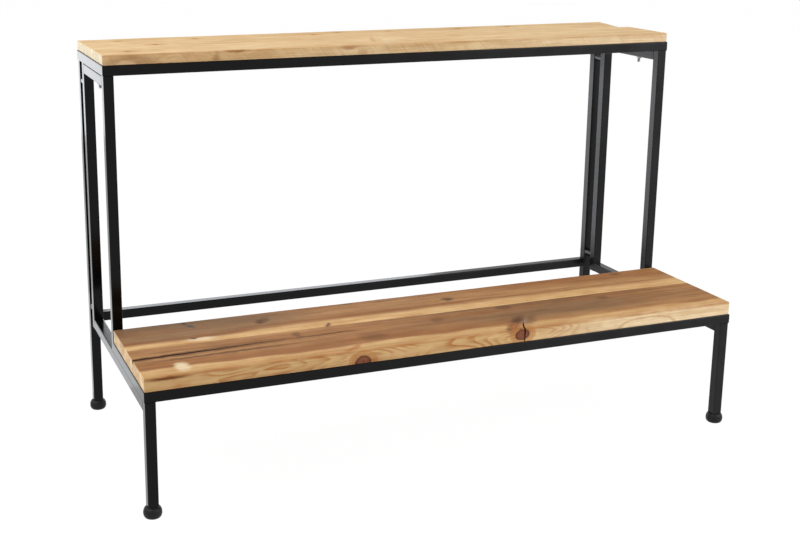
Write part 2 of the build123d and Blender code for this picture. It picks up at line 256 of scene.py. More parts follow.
def soft_lamp(name, place, size, power, light_colour, target=MIDDLE):
    """An area lamp at a place, with a size and a power in watts, that faces its target."""
    light = bpy.data.lights.new(name, "AREA")
    light.shape = "RECTANGLE"
    light.size = size[0]
    light.size_y = size[1]
    light.energy = power
    light.color = light_colour
    lamp = put_in_scene(name, light)
    lamp.visible_camera = False
    lamp.location = place
    lamp.rotation_euler = (target - place).to_track_quat("-Z", "Y").to_euler()
    return lamp


for lamp_values in LAMPS:
    soft_lamp(*lamp_values)
for card_values in CARDS:
    card = soft_lamp(*card_values)
    card.visible_diffuse = False
print("lamps:", len(LAMPS), "cards:", len(CARDS))

# %% [markdown]
# The tubes are powder coated: paint baked on as dust, so it melts into a satin skin with the fine dimples
# of an orange peel. The dimples are far too small to model, so a bump makes them. A thin film of dust
# greys the coat in patches and makes it duller where it lies. Towards the right the coat turns greyer
# still: that is painted light, for the light that falls from the right front.

# %% Powder coat on the tubes
COAT_BLACK = (0.0012, 0.0012, 0.0014, 1.0)
COAT_DUST_AND_LIGHT = (0.0165, 0.0165, 0.018, 1.0)
PEEL_SCALE = (900, 900, 900)
PEEL_DEPTH = 0.000015
DUST_SCALE = (9, 9, 9)

coat = new_finish("black_powder_coat")
peel = coat.cloud(PEEL_SCALE, detail=1.0)
dust_and_painted_light = coat.fade(coat.cloud(DUST_SCALE, detail=5.0, rough=0.65), 0.3, 0.7, 0.5, 1.0)
along = coat.axes()[0]
# The coat greys more towards the right: painted light, for the light that falls from the right front.
dust_and_painted_light = coat.times(dust_and_painted_light, coat.fade(along, -0.5, 0.5))
coat.surface(
    Base_Color=coat.tint(dust_and_painted_light, COAT_BLACK, COAT_DUST_AND_LIGHT),
    Roughness=coat.fade(dust_and_painted_light, 0.0, 1.0, 0.15, 0.26),
    Specular_IOR_Level=0.15,
    Normal=coat.bump(peel, PEEL_DEPTH),
)


def dress(names, finish):
    """Give CAD nodes a finish of this scene in place of the plain one they came with."""
    for name in names:
        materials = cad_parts[name].data.materials
        materials.clear()
        materials.append(finish)
    print(finish.name, "on", len(names), "nodes")


dress([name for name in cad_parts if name.endswith(("_rail", "_leg", "_post"))], coat.owner)

# %% [markdown]
# Boards that have lived outdoors are never true boxes. Their arrises are rubbed round by different
# amounts, faces dip a little, and ends are eased by hand. A bevel on a cube gives the same edge
# everywhere, so each board is lofted instead: a rounded outline is drawn again and again along the
# board, every outline is slightly different, and a skin of faces joins each to the next.

# %% Skin between rings
def join_rings(grid, rings, ends):
    """Faces from each ring of corners to the next, and over both ends if asked for."""
    for first, second in zip(rings, rings[1:]):
        for index in range(len(first)):
            after = (index + 1) % len(first)
            corners = dict.fromkeys((first[index], first[after], second[after], second[index]))
            if len(corners) > 2:
                grid.faces.new(tuple(corners))
    if ends:
        grid.faces.new(rings[0])
        grid.faces.new(rings[-1])
    bmesh.ops.recalc_face_normals(grid, faces=grid.faces)


# %% A board's outline
ARC_STEPS = 4
BOTTOM_EASE = 0.0006
TOP_POINTS = 12
SIDE_POINTS = 3
BOTTOM_POINTS = 4


def corner_arc(y, z, ease, start):
    """Points round one corner of a section, a quarter turn from the start angle."""
    middle = math.radians(start - 45)
    inward = Vector((0, -math.copysign(ease, math.cos(middle)), -math.copysign(ease, math.sin(middle))))
    centre = Vector((0, y, z)) + inward
    angles = [math.radians(start - 90 * step / ARC_STEPS) for step in range(ARC_STEPS + 1)]
    return [centre + ease * Vector((0, math.cos(angle), math.sin(angle))) for angle in angles]


def board_outline(low, high, front_ease, back_ease):
    """A board's section, with its own easing on each upper arris."""
    sides = (
        (corner_arc(low.y, high.z, front_ease, 180), TOP_POINTS),
        (corner_arc(high.y, high.z, back_ease, 90), SIDE_POINTS),
        (corner_arc(high.y, low.z, BOTTOM_EASE, 0), BOTTOM_POINTS),
        (corner_arc(low.y, low.z, BOTTOM_EASE, -90), SIDE_POINTS),
    )
    points = []
    for index, (arc, between) in enumerate(sides):
        next_arc = sides[(index + 1) % len(sides)][0]
        points += arc
        for step in range(1, between + 1):
            points.append(arc[-1].lerp(next_arc[0], step / (between + 1)))
    return points


# %% Lofting a board
STATION_STEP = 0.008
END_EASE = 0.0012
WEAR_PER_METRE = 14
WEAR_SHARE = 0.7
WEAR_ROWS = (0.3, 5.1)
DIPS_ALONG = 9
DIPS_ACROSS = 25


def board_stations(length):
    """Places along a board and how far its outline draws in there, rounding both ends."""
    angles = [math.pi / 2 * step / ARC_STEPS for step in range(ARC_STEPS + 1)]
    start = [(END_EASE * (1 - math.cos(angle)), END_EASE * (1 - math.sin(angle))) for angle in angles]
    count = int(length / STATION_STEP)
    middle = [(length * step / count, 0.0) for step in range(1, count)]
    end = [(length - place, inset) for place, inset in reversed(start)]
    return start + middle + end


def lofted_board(low, high, ease, dip, seed, skew=0.0):
    """Loft a board between two corners. Its dips only go inwards, so it stays inside its box."""
    board = bmesh.new()
    centre = (low + high) / 2
    size = high - low
    rings = []
    for along, inset in board_stations(size.x):
        wear = [noise.noise(Vector((along * WEAR_PER_METRE, seed, row))) for row in WEAR_ROWS]
        eases = [ease * (1 + WEAR_SHARE * part) for part in wear]
        ring = []
        for point in board_outline(low, high, *eases):
            swell = noise.noise(Vector((along * DIPS_ALONG, point.y * DIPS_ACROSS, seed)))
            drawn_in = inset + dip * (0.5 + 0.5 * swell)
            y = centre.y + (point.y - centre.y) * (1 - 2 * drawn_in / size.y)
            z = centre.z + (point.z - centre.z) * (1 - 2 * drawn_in / size.z)
            shortened = skew * (high.y - y) / size.y
            x = low.x + along * (1 - shortened / size.x)
            ring.append(board.verts.new((x, y, z)))
        rings.append(ring)
    join_rings(board, rings, ends=True)
    return board


# %% [markdown]
# A finished mesh still has to be put where it belongs: it moves with a body, and the CAD nodes that it
# stands for are hidden. One helper does both, and sets smooth shading with sharp creases where faces meet
# at a steep angle.

# %% Putting a piece in the scene
CREASE_ANGLE = math.radians(35)


def place_piece(grid, name, finish, nodes, body="frame"):
    mesh = finished_mesh(name, grid)
    mesh.shade_smooth()
    mesh.set_sharp_from_angle(angle=CREASE_ANGLE)
    mesh.materials.append(finish)
    piece = put_in_scene(name, mesh)
    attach(piece, body)
    if nodes:
        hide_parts(*nodes)
    print(name, "faces:", len(mesh.polygons))
    return piece


# %% [markdown]
# The lower front board has a drying split that opens from its left end, and a crack that runs in from a
# knot on its front edge. A painted dark line would stay flat when you look along it, so both are cut
# out of the mesh: a thin ragged wedge is built, and a Boolean modifier takes it away.

# %% A ragged wedge
WEDGE_STEP = 0.004
WEDGE_FOOT = 0.4
RAGGED_PER_METRE = 90
RAGGED_ROW = 0.7
RAGGED_SHARE = 0.35
ABOVE_FACE = 0.002


def ragged_wedge(path, top):
    """A wedge along path, whose points are (x, y, width, bottom), open at the top face."""
    wedge = bmesh.new()
    rings = []
    for start, end in zip(path, path[1:]):
        heading = Vector((end[0] - start[0], end[1] - start[1], 0)).normalized()
        aside = Vector((-heading.y, heading.x, 0))
        steps = max(2, int((Vector(end[:2]) - Vector(start[:2])).length / WEDGE_STEP))
        last = 1 if end is path[-1] else 0
        for step in range(steps + last):
            x, y, width, bottom = (a + (b - a) * step / steps for a, b in zip(start, end))
            shake = noise.noise(Vector((x * RAGGED_PER_METRE, y * RAGGED_PER_METRE, RAGGED_ROW)))
            half = width / 2 * (1 + RAGGED_SHARE * shake)
            middle = Vector((x, y, 0)) + aside * width * RAGGED_SHARE * shake
            ring = []
            above = top + ABOVE_FACE
            for side, level in ((-1, above), (1, above), (WEDGE_FOOT, bottom), (-WEDGE_FOOT, bottom)):
                point = middle + aside * half * side
                ring.append(wedge.verts.new((point.x, point.y, level)))
            rings.append(ring)
    join_rings(wedge, rings, ends=True)
    return wedge


# %% Cutting a wedge away
def cut_away(piece, wedge, finish):
    """Take the wedge out of the piece and line the cut with its own finish."""
    mesh = finished_mesh("wedge", wedge)
    mesh.materials.append(finish)
    cutter = put_in_scene("wedge", mesh)
    modifier = piece.modifiers.new("cut", "BOOLEAN")
    modifier.operation = "DIFFERENCE"
    modifier.solver = "EXACT"
    modifier.material_mode = "TRANSFER"
    modifier.object = cutter
    whole = piece.evaluated_get(bpy.context.evaluated_depsgraph_get())
    cut_mesh = bpy.data.meshes.new_from_object(whole)
    piece.modifiers.clear()
    piece.data = cut_mesh
    cut_mesh.set_sharp_from_angle(angle=CREASE_ANGLE)
    bpy.data.objects.remove(cutter)
    print(piece.name, "faces after the cut:", len(cut_mesh.polygons))


# %% [markdown]
# Wood is a solid, so its finish is a solid too: the shader works from a point's place in the board, not
# from a picture wrapped round it, and grain runs on over every arris as it does in real timber. The
# finish counts growth rings outwards from the pith, lets them sway, and bends them round the knots.
# Each ring darkens slowly into its late wood and then stops short, which is what makes softwood grain.

# %% Growth rings
SWAY = 0.007
SWAY_SCALE = (2.3, 8, 8)
SWAY_DETAIL = 1.5
WANDER_SCALE = (11, 10, 45)
WANDER_DETAIL = 0.5
WANDER_DEPTH = 0.03
DRIFT_SCALE = (5, 40, 40)
PATCHY_SCALE = (17, 60, 60)
RING_RISE = (0.3, 0.9)
RING_STOP = (1.0, 0.92)


def board_finish(name, corner):
    """A bench that counts places from the front left bottom corner of a shelf's boards."""
    bench = new_finish(name)
    shift = [-part for part in corner]
    moved = bench.add("ShaderNodeMapping", {"Vector": bench.place, "Location": shift})
    bench.place = moved.outputs[0]
    return bench


def swaying(bench, scale, detail, reach):
    """Noise that swings evenly from minus reach to plus reach."""
    return bench.reckon("MULTIPLY_ADD", bench.cloud(scale, detail=detail), 2 * reach, -reach)


def growth_rings(bench, pith_across, pith_up, spacing, wander, swirls=()):
    """Late wood: 0 between rings, 1 on a ring's dark line. Rings wander most on the front edge."""
    across, up = bench.axes()[1:]
    aside = bench.reckon("SUBTRACT", across, pith_across)
    aside = bench.reckon("ADD", aside, swaying(bench, SWAY_SCALE, SWAY_DETAIL, SWAY))
    bends = swaying(bench, WANDER_SCALE, WANDER_DETAIL, wander)
    aside = bench.reckon("MULTIPLY_ADD", bends, bench.fade(across, WANDER_DEPTH, 0.0), aside)
    above = bench.reckon("SUBTRACT", up, pith_up)
    square = bench.reckon("MULTIPLY_ADD", aside, aside, bench.times(above, above))
    count = bench.reckon("DIVIDE", bench.reckon("SQRT", square), spacing)
    count = bench.reckon("ADD", count, bench.cloud(DRIFT_SCALE))
    for centre, reach, turns in swirls:
        count = bench.reckon("MULTIPLY_ADD", bench.spot(centre, reach), turns, count)
    share = bench.reckon("FRACT", count)
    line = bench.times(bench.fade(share, *RING_RISE), bench.fade(share, *RING_STOP))
    return bench.times(line, bench.fade(bench.cloud(PATCHY_SCALE, detail=3.0), 0.3, 0.65))


# %% [markdown]
# The sawn ends are paler than the faces and show the rings as short bars. A face's normal tells which
# faces these are: on an end it points along the board.

# %% End grain
END_RING_SCALE = (30, 30, 260)


def end_grain(bench, tone, end_tone):
    """Lay the paler end grain over the two sawn ends."""
    normal = bench.add("ShaderNodeNewGeometry").outputs["Normal"]
    facing = bench.reckon("ABSOLUTE", bench.axes(normal)[0])
    rings = bench.fade(bench.cloud(END_RING_SCALE, detail=3.0), 0.3, 0.7, 0.9, 0.55)
    return bench.tint(bench.times(bench.fade(facing, 0.6, 0.9), rings), tone, end_tone)


# %% [markdown]
# Stains, streaks and rubbed patches each have a place of their own, so they can't come from noise. Each is
# a soft oval instead, mixed over the grain one after another. A perfect oval looks painted on, so the
# place that it is measured from is shaken by noise first, which gives it a ragged edge.

# %% Marks
MARK_EDGE = 0.3
MARK_DEPTH = 0.01
RAGGED_SCALE = (55, 75, 110)
RAGGED_REACH = (0.016, 0.010, 0.004)


def ragged_place(bench, scale, reach):
    """The place of a point, shaken by noise, so that a patch drawn there has an uneven edge."""
    spread = bench.add("ShaderNodeMapping", {"Vector": bench.place, "Scale": scale})
    inputs = {"Vector": spread.outputs[0], "Scale": 1.0, "Detail": 3.0}
    shaken = bench.add("ShaderNodeTexNoise", inputs).outputs["Color"]
    offset = bench.add("ShaderNodeVectorMath", {0: shaken, 1: (0.5, 0.5, 0.5)}, operation="SUBTRACT")
    inputs = {0: offset.outputs[0], 1: reach, 2: bench.place}
    return bench.add("ShaderNodeVectorMath", inputs, operation="MULTIPLY_ADD").outputs[0]


def add_marks(bench, tone, marks):
    """Mix soft patches over a tone: each has a centre, a reach, a turn, a strength and a colour."""
    place = ragged_place(bench, RAGGED_SCALE, RAGGED_REACH)
    for centre, reach, turn, strength, mark in marks:
        patch = bench.spot(centre, reach, MARK_EDGE, math.radians(turn), place)
        tone = bench.tint(bench.times(patch, strength), tone, mark)
    return tone


def on_top(marks, height):
    """Marks on the upper face of a board, given only by places and reaches along and across it."""
    return [((*centre, height), (*reach, MARK_DEPTH), *rest) for centre, reach, *rest in marks]


# %% [markdown]
# A knot is a branch cut across. It has rings of its own inside a dark edge, and round it lies a halo where
# the board's grain had to turn aside.

# %% Knots
KNOT_SCALE = (90, 90, 90)
KNOT_REACH = (0.006, 0.006, 0.006)
HALO_SIZE = 1.9
CORE_SIZE = 0.8
KNOT_EDGE = 0.75
CORE_EDGE = 0.6
HALO_EDGE = 0.2
KNOT_RINGS = 4.0
HALO_RINGS = 6.0


def add_knots(bench, tone, knots, rim, edge, heart):
    """Draw knots, each with a centre and a reach, in the colours of their halo, edge and heart."""
    bent = ragged_place(bench, KNOT_SCALE, KNOT_REACH)
    for centre, reach in knots:
        near = bench.spot(centre, [part * HALO_SIZE for part in reach], place=bent)
        halo_turns = bench.reckon("FRACT", bench.times(near, HALO_RINGS))
        halo_rings = bench.fade(halo_turns, 0.2, 0.9, 0.4, 0.9)
        halo = bench.times(bench.fade(near, 0.0, HALO_EDGE), halo_rings)
        whole = bench.spot(centre, reach, KNOT_EDGE, place=bent)
        core = bench.spot(centre, [part * CORE_SIZE for part in reach], CORE_EDGE, place=bent)
        turns = bench.times(bench.spot(centre, reach, place=bent), KNOT_RINGS)
        rings = bench.fade(bench.reckon("FRACT", turns), 0.4, 0.95, 0.0, 0.5)
        tone = bench.tint(halo, tone, rim)
        tone = bench.tint(bench.times(whole, 0.9), tone, edge)
        tone = bench.tint(core, tone, bench.tint(rings, heart, edge))
    return tone


# %% [markdown]
# Last come the fibres, which every planed face shows as fine streaks. They darken the colour, and they
# also make the bump and the roughness, so that shine and shade agree. Dark fibres keep more red and
# lose more blue, because wood that is only darkened turns olive.

# %% Fibres and painted arris shade
ARRIS_DOWN = 0.005
ARRIS_BACK = 0.004
ARRIS_PATCHY = (14, 1, 1)
FIBRE_SCALE = (7, 520, 520)
STREAK_SCALE = (1.4, 75, 75)
MOTTLE_SCALE = (30, 55, 55)
DARK_REDDER = 0.7
DARK_LESS_BLUE = 1.3
FIBRE_DEPTH = 0.0002


def painted_arris_shade(bench, tone, thick, arris_shade_colour, strength):
    """A patchy brown line along the upper front arris: painted shade where the rounded edge turns from the
    light.
    """
    across, up = bench.axes()[1:]
    near_top = bench.fade(up, thick - ARRIS_DOWN, thick)
    line = bench.times(near_top, bench.fade(across, ARRIS_BACK, 0.0, 0.0, strength))
    patchy = bench.fade(bench.cloud(ARRIS_PATCHY, detail=3.0), 0.35, 0.65, 0.35, 1.0)
    return bench.tint(bench.times(line, patchy), tone, arris_shade_colour)


def finish_board(bench, tone, late_wood, ring_depth, streaky):
    """Add fibres, streaks and mottle to a board's tone, with bump and roughness to match."""
    fibre = bench.cloud(FIBRE_SCALE, detail=3.0, rough=0.65)
    streak = bench.cloud(STREAK_SCALE, detail=3.0)
    mottle = bench.cloud(MOTTLE_SCALE, detail=4.0, rough=0.6)
    shade = bench.fade(fibre, 0.25, 0.75, 0.82, 1.14)
    shade = bench.times(shade, bench.fade(streak, 0.25, 0.75, 1 - streaky, 1 + 0.75 * streaky))
    shade = bench.times(shade, bench.fade(mottle, 0.25, 0.75, 0.9, 1.08))
    red = bench.reckon("POWER", shade, DARK_REDDER)
    blue = bench.reckon("POWER", shade, DARK_LESS_BLUE)
    warm = bench.add("ShaderNodeCombineColor", {0: red, 1: shade, 2: blue}).outputs[0]
    tone = bench.tint(1.0, tone, warm, "MULTIPLY")
    relief = bench.reckon("MULTIPLY_ADD", late_wood, ring_depth, fibre)
    return bench.surface(
        Base_Color=tone,
        Roughness=bench.fade(fibre, 0.2, 0.8, 0.78, 0.58),
        Specular_IOR_Level=0.12,
        Normal=bench.bump(relief, FIBRE_DEPTH),
    )


# %% [markdown]
# The upper boards are pale and almost even: honey coloured, with pin knots near the back edge, a slanting
# shake in the middle, and some brown streaks on the front edge at the left. So the rings stay weak here,
# and knots and soft patches do most of the work.

# %% Upper boards: grain
UPPER_LOW, UPPER_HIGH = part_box("upper_front_plank")
UPPER_THICK = UPPER_HIGH.z - UPPER_LOW.z
HONEY_LIGHT = colour(232, 201, 154)
HONEY_DARK = colour(208, 166, 112)
HONEY_BROWN = colour(190, 140, 84)
CREAM_END = colour(233, 225, 201)
UPPER_MOTTLE = (6, 26, 40)
PIN_REACH = (0.0075, 0.005, 0.012)
PIN_SWIRL = (0.05, 0.022, 0.03)
PIN_PLACES = (
    (0.048, 0.042), (0.108, 0.118), (0.060, 0.186), (0.190, 0.180), (0.400, 0.178),
    (0.452, 0.200), (0.545, 0.190), (0.680, 0.187), (0.785, 0.194),
)
UPPER_SWIRLS = [
    ((0.21, 0.0, 0.010), (0.09, 0.03, 0.02), 3.0),
    ((0.05, 0.0, 0.004), (0.08, 0.03, 0.02), 3.0),
    ((0.55, 0.06, 0.015), (0.12, 0.05, 0.03), 2.0),
]
UPPER_SWIRLS += [((*place, UPPER_THICK), PIN_SWIRL, 1.5) for place in PIN_PLACES]

upper = board_finish("pale_boards", UPPER_LOW)
upper_late = growth_rings(
    upper, pith_across=0.07, pith_up=-0.05, spacing=0.0042, wander=0.006, swirls=UPPER_SWIRLS)
upper_cloud = upper.fade(upper.cloud(UPPER_MOTTLE, detail=4.0, rough=0.6), 0.4, 0.7, 0.0, 0.5)
upper_tone = upper.tint(upper_cloud, HONEY_LIGHT, HONEY_DARK)
upper_tone = upper.tint(upper.times(upper_late, 0.55), upper_tone, HONEY_DARK)
upper_tone = end_grain(upper, upper_tone, CREAM_END)
print("pin knots:", len(PIN_PLACES))

# %% [markdown]
# The front edge was sawn and never planed, and the saw left slanting lines on it. They are noise that is
# stretched along a leaning direction: the place is turned first and stretched after.

# %% Upper boards: saw marks
SAW_LEAN = math.radians(40)
SAW_SCALE = (300, 20, 22)
SAW_LIGHT = colour(236, 214, 178)
SAW_DARK = colour(184, 147, 104)
SAW_STRENGTH = 0.5
EDGE_DEPTH = (0.003, 0.001)

lean = {"Vector": upper.place, "Angle": SAW_LEAN}
leaning = upper.add("ShaderNodeVectorRotate", lean, rotation_type="Y_AXIS").outputs[0]
saw_lines = upper.cloud(SAW_SCALE, detail=2.0, place=leaning)
on_edge = upper.fade(upper.axes()[1], *EDGE_DEPTH)
for start, end, mark in ((0.52, 0.75, SAW_LIGHT), (0.48, 0.25, SAW_DARK)):
    strength = upper.times(upper.fade(saw_lines, start, end, 0.0, SAW_STRENGTH), on_edge)
    upper_tone = upper.tint(strength, upper_tone, mark)
print("saw marks lean", round(math.degrees(SAW_LEAN)), "degrees")

# %% [markdown]
# Marks on the edge are given by places along, across and up the board. Those on top need no height.

# %% Upper boards: marks and knots
BROWN_STREAK = colour(150, 104, 62)
RED_STREAK = colour(140, 88, 52)
PALE_HONEY_AND_PAINTED_LIGHT = colour(232, 208, 172)
FAINT_EDGE_BROWN = colour(150, 124, 96)
PIN_HALO = (0.030, 0.020)
UPPER_EDGE_MARKS = [
    # A faint brown over most of the front edge, strongest in the middle.
    ((0.50, 0.0, 0.008), (0.95, 0.008, 0.03), 0, 0.18, FAINT_EDGE_BROWN),
    # The front edge darkens at the left and pales at the right: painted shade and painted light, for the
    # light from the right front.
    ((0.10, 0.0, 0.008), (0.24, 0.008, 0.03), 0, 0.3, HONEY_BROWN),
    ((1.00, 0.0, 0.008), (0.45, 0.008, 0.03), 0, 0.5, PALE_HONEY_AND_PAINTED_LIGHT),
    ((0.045, -0.002, 0.005), (0.055, 0.012, 0.012), 0, 0.6, BROWN_STREAK),
    ((0.035, -0.002, 0.002), (0.022, 0.012, 0.007), 0, 0.6, HONEY_LIGHT),
    ((0.210, 0.0, UPPER_THICK), (0.026, 0.012, 0.0055), 0, 0.9, RED_STREAK),
    ((0.175, -0.002, 0.006), (0.008, 0.010, 0.010), 0, 0.5, RED_STREAK),
    ((0.395, 0.0, 0.013), (0.020, 0.010, 0.006), 0, 0.6, RED_STREAK),
    ((0.420, -0.002, 0.004), (0.012, 0.008, 0.008), 0, 0.35, BROWN_STREAK),
]
UPPER_TOP_MARKS = [(place, PIN_HALO, 0, 0.3, HONEY_BROWN) for place in PIN_PLACES]
UPPER_TOP_MARKS += [
    ((0.50, 0.205), (0.62, 0.050), 0, 0.25, HONEY_DARK),
    ((0.467, 0.075), (0.066, 0.006), 72, 0.45, HONEY_BROWN),
    ((0.482, 0.060), (0.060, 0.008), 76, 0.6, PALE_HONEY_AND_PAINTED_LIGHT),
]
upper_tone = add_marks(upper, upper_tone, UPPER_EDGE_MARKS + on_top(UPPER_TOP_MARKS, UPPER_THICK))
pin_knots = [((*place, UPPER_THICK), PIN_REACH) for place in PIN_PLACES]
# Painted shade along the rounded upper front arris.
upper_tone = painted_arris_shade(upper, upper_tone, UPPER_THICK, HONEY_BROWN, strength=0.7)
upper_tone = add_knots(upper, upper_tone, pin_knots, HONEY_DARK, HONEY_BROWN, BROWN_STREAK)
pale_wood = finish_board(upper, upper_tone, upper_late, ring_depth=0.3, streaky=0.07)
print("marks on the upper boards:", len(UPPER_EDGE_MARKS) + len(UPPER_TOP_MARKS))

# %% [markdown]
# Both upper boards are lofted from the boxes of their CAD planks. The back one is cut askew at its right
# end, so it gets shorter towards the front.

# %% Upper boards: meshes
UPPER_EASE = 0.0014
UPPER_DIP = 0.0002
SKEW_CUT = 0.020
for name, seed, skew in (("upper_front", 2.0, 0.0), ("upper_back", 3.0, SKEW_CUT)):
    low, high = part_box(name + "_plank")
    board = lofted_board(low, high, UPPER_EASE, UPPER_DIP, seed, skew)
    place_piece(board, name + "_board", pale_wood, [name + "_plank"])

# %% [markdown]
# The lower boards tell more of a story. Their heartwood is brown and greys where rain stands on it,
# while a strip of sapwood stays pale along the front edge and beside the seam. The two kinds of wood
# are made apart and mixed by a wavering border, which is how they meet in a real plank.

# %% Lower boards: heartwood and sapwood
LOWER_LOW, LOWER_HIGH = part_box("lower_front_plank")
LOWER_THICK = LOWER_HIGH.z - LOWER_LOW.z
SAP_LIGHT = colour(214, 176, 124)
SAP_DARK = colour(176, 112, 56)
HEART_LIGHT = colour(184, 139, 92)
HEART_RED = colour(158, 107, 64)
HEART_DARK = colour(118, 80, 50)
WEATHER_GREY = colour(124, 96, 68)
WORN_END = colour(232, 205, 165)
BAND_SCALE = (2.0, 34, 34)
THREAD_SCALE = (2.5, 170, 170)
STAIN_SCALE = (3, 22, 22)


def weathered_tone(bench, late_wood, heart, grey):
    """Mix sapwood and heartwood, and lay weathered grey over the heartwood."""
    sap = bench.tint(bench.times(late_wood, 0.85), SAP_LIGHT, SAP_DARK)
    bands = bench.fade(bench.cloud(BAND_SCALE, detail=3.0), 0.35, 0.65)
    heartwood = bench.tint(bands, HEART_LIGHT, HEART_RED)
    threads = bench.fade(bench.cloud(THREAD_SCALE, detail=2.0), 0.52, 0.72)
    dark_grain = bench.times(bench.reckon("MAXIMUM", threads, late_wood), 0.7)
    heartwood = bench.tint(dark_grain, heartwood, HEART_DARK)
    heartwood = bench.tint(grey, heartwood, WEATHER_GREY)
    tone = bench.tint(heart, sap, heartwood)
    return end_grain(bench, tone, WORN_END)


def rained_on(bench, centre, reach, edge, least, most):
    """A soft patch where rain stands, stained unevenly."""
    stain = bench.fade(bench.cloud(STAIN_SCALE, detail=4.0), 0.3, 0.6, least, most)
    return bench.times(bench.spot(centre, reach, edge), stain)


# %% [markdown]
# The front board's grain comes first. Its rings swirl round two knots on the front edge, its sapwood ends
# at a wavering border 25 mm in, and rain has greyed the middle.

# %% Lower front board: grain
FRONT_KNOTS = (
    ((0.333, 0.0, 0.0030), (0.0150, 0.026, 0.0110)),
    ((0.604, 0.0, 0.0122), (0.0148, 0.026, 0.0102)),
)
KNOT_SWIRL = (0.13, 0.05, 0.05)
FRONT_BORDER = (0.022, 0.029)
FRONT_SWAY_SCALE = (6, 3, 3)
FRONT_SWAY = 0.017
FRONT_SWIRLS = [(centre, KNOT_SWIRL, 5.0) for centre, reach in FRONT_KNOTS]
FRONT_SWIRLS.append(((0.84, 0.0, 0.0), (0.075, 0.03, 0.020), 2.2))
FRONT_SWIRLS.append(((0.15, 0.0, 0.020), (0.07, 0.03, 0.030), 1.2))
front = board_finish("weathered_front_board", LOWER_LOW)
front_late = growth_rings(
    front, pith_across=0.085, pith_up=0.008, spacing=0.0036, wander=0.009, swirls=FRONT_SWIRLS)
across = front.axes()[1]
front_border = front.reckon("ADD", across, swaying(front, FRONT_SWAY_SCALE, 3.0, FRONT_SWAY))
front_heart = front.fade(front_border, *FRONT_BORDER)
front_grey = rained_on(front, (0.74, 0.075, 0.02), (0.42, 0.05, 0.05), edge=0.3, least=0.25, most=0.9)
front_tone = weathered_tone(front, front_late, front_heart, front_grey)
print("swirls round knots:", len(FRONT_SWIRLS))

# %% [markdown]
# The front board carries most of the marks: two dark red knots on its front edge, one of which runs on
# over the top as a dark slanting streak, stains, a rubbed bare patch, and a brown line of painted shade
# along the rounded arris. At the right the edge cuts through early wood, which shows as a pale arch.

# %% Lower front board: marks
DARK_BROWN = colour(92, 62, 40)
STAIN_BROWN = colour(108, 74, 48)
FLAME_BROWN = colour(176, 118, 68)
RED_BROWN = colour(118, 70, 38)
DUSTY_GREY = colour(148, 123, 104)
PALE_SAP_AND_PAINTED_LIGHT = colour(237, 212, 172)
SAP_BROWN = colour(150, 104, 60)
BARE_WOOD = colour(236, 214, 178)
FRONT_EDGE_MARKS = [
    # The front edge darkens at the left and pales at the right: painted shade and painted light, for the
    # light from the right front.
    ((0.20, 0.0, 0.012), (0.42, 0.010, 0.03), 0, 0.15, SAP_BROWN),
    ((0.90, 0.0, 0.008), (0.34, 0.010, 0.03), 0, 0.85, PALE_SAP_AND_PAINTED_LIGHT),
    ((0.035, 0.0, 0.0175), (0.046, 0.007, 0.0042), 0, 1.0, RED_BROWN),
]
FRONT_TOP_MARKS = [
    ((0.55, 0.010), (0.42, 0.018), 0, 0.2, SAP_BROWN),
    ((0.0625, 0.027), (0.016, 0.026), 0, 0.9, BARE_WOOD),
    ((0.65, 0.114), (0.45, 0.008), 0, 0.5, DARK_BROWN),
    ((0.326, 0.016), (0.034, 0.008), 40, 0.75, FLAME_BROWN),
    ((0.636, 0.034), (0.040, 0.015), 55, 0.55, STAIN_BROWN),
    ((0.605, 0.027), (0.058, 0.0140), 50, 1.0, DARK_BROWN),
    ((0.621, 0.028), (0.034, 0.0060), 52, 0.8, DUSTY_GREY),
    ((0.625, 0.108), (0.026, 0.014), 0, 0.8, STAIN_BROWN),
    ((0.81, 0.095), (0.014, 0.014), 0, 0.6, STAIN_BROWN),
    ((0.496, 0.085), (0.017, 0.014), 0, 0.6, STAIN_BROWN),
    ((0.2625, 0.099), (0.010, 0.016), 0, 0.7, STAIN_BROWN),
    ((0.370, 0.050), (0.034, 0.024), 0, 0.5, STAIN_BROWN),
    ((0.30, 0.085), (0.09, 0.005), 1, 0.8, DARK_BROWN),
    ((0.11, 0.080), (0.19, 0.011), 2.7, 0.75, DARK_BROWN),
    ((0.03, 0.076), (0.08, 0.008), 2, 0.7, DARK_BROWN),
    ((0.13, 0.061), (0.17, 0.006), 1, 0.75, DARK_BROWN),
]
front_tone = add_marks(front, front_tone, FRONT_EDGE_MARKS + on_top(FRONT_TOP_MARKS, LOWER_THICK))
print("marks on the front board:", len(FRONT_EDGE_MARKS) + len(FRONT_TOP_MARKS))

# %% Lower front board: arch, arris and knots
ARCH_CENTRE = (0.836, 0.0, 0.0)
ARCH_OUTSIDE = (0.060, 0.02, 0.0165)
ARCH_INSIDE = (0.053, 0.02, 0.0140)
KNOT_RED = colour(142, 87, 64)
KNOT_DARK = colour(80, 43, 30)
KNOT_RIM = colour(178, 116, 62)
uneven = ragged_place(front, KNOT_SCALE, KNOT_REACH)
for reach, strength, mark in ((ARCH_OUTSIDE, 0.42, FLAME_BROWN), (ARCH_INSIDE, 0.95, PALE_SAP_AND_PAINTED_LIGHT)):
    arch = front.spot(ARCH_CENTRE, reach, edge=0.85, place=uneven)
    front_tone = front.tint(front.times(arch, strength), front_tone, mark)
# Painted shade along the rounded upper front arris.
front_tone = painted_arris_shade(front, front_tone, LOWER_THICK, FLAME_BROWN, strength=0.9)
front_tone = add_knots(front, front_tone, FRONT_KNOTS, KNOT_RIM, KNOT_DARK, KNOT_RED)
worn_front = finish_board(front, front_tone, front_late, ring_depth=0.5, streaky=0.19)
print("knots on the front edge:", len(FRONT_KNOTS))

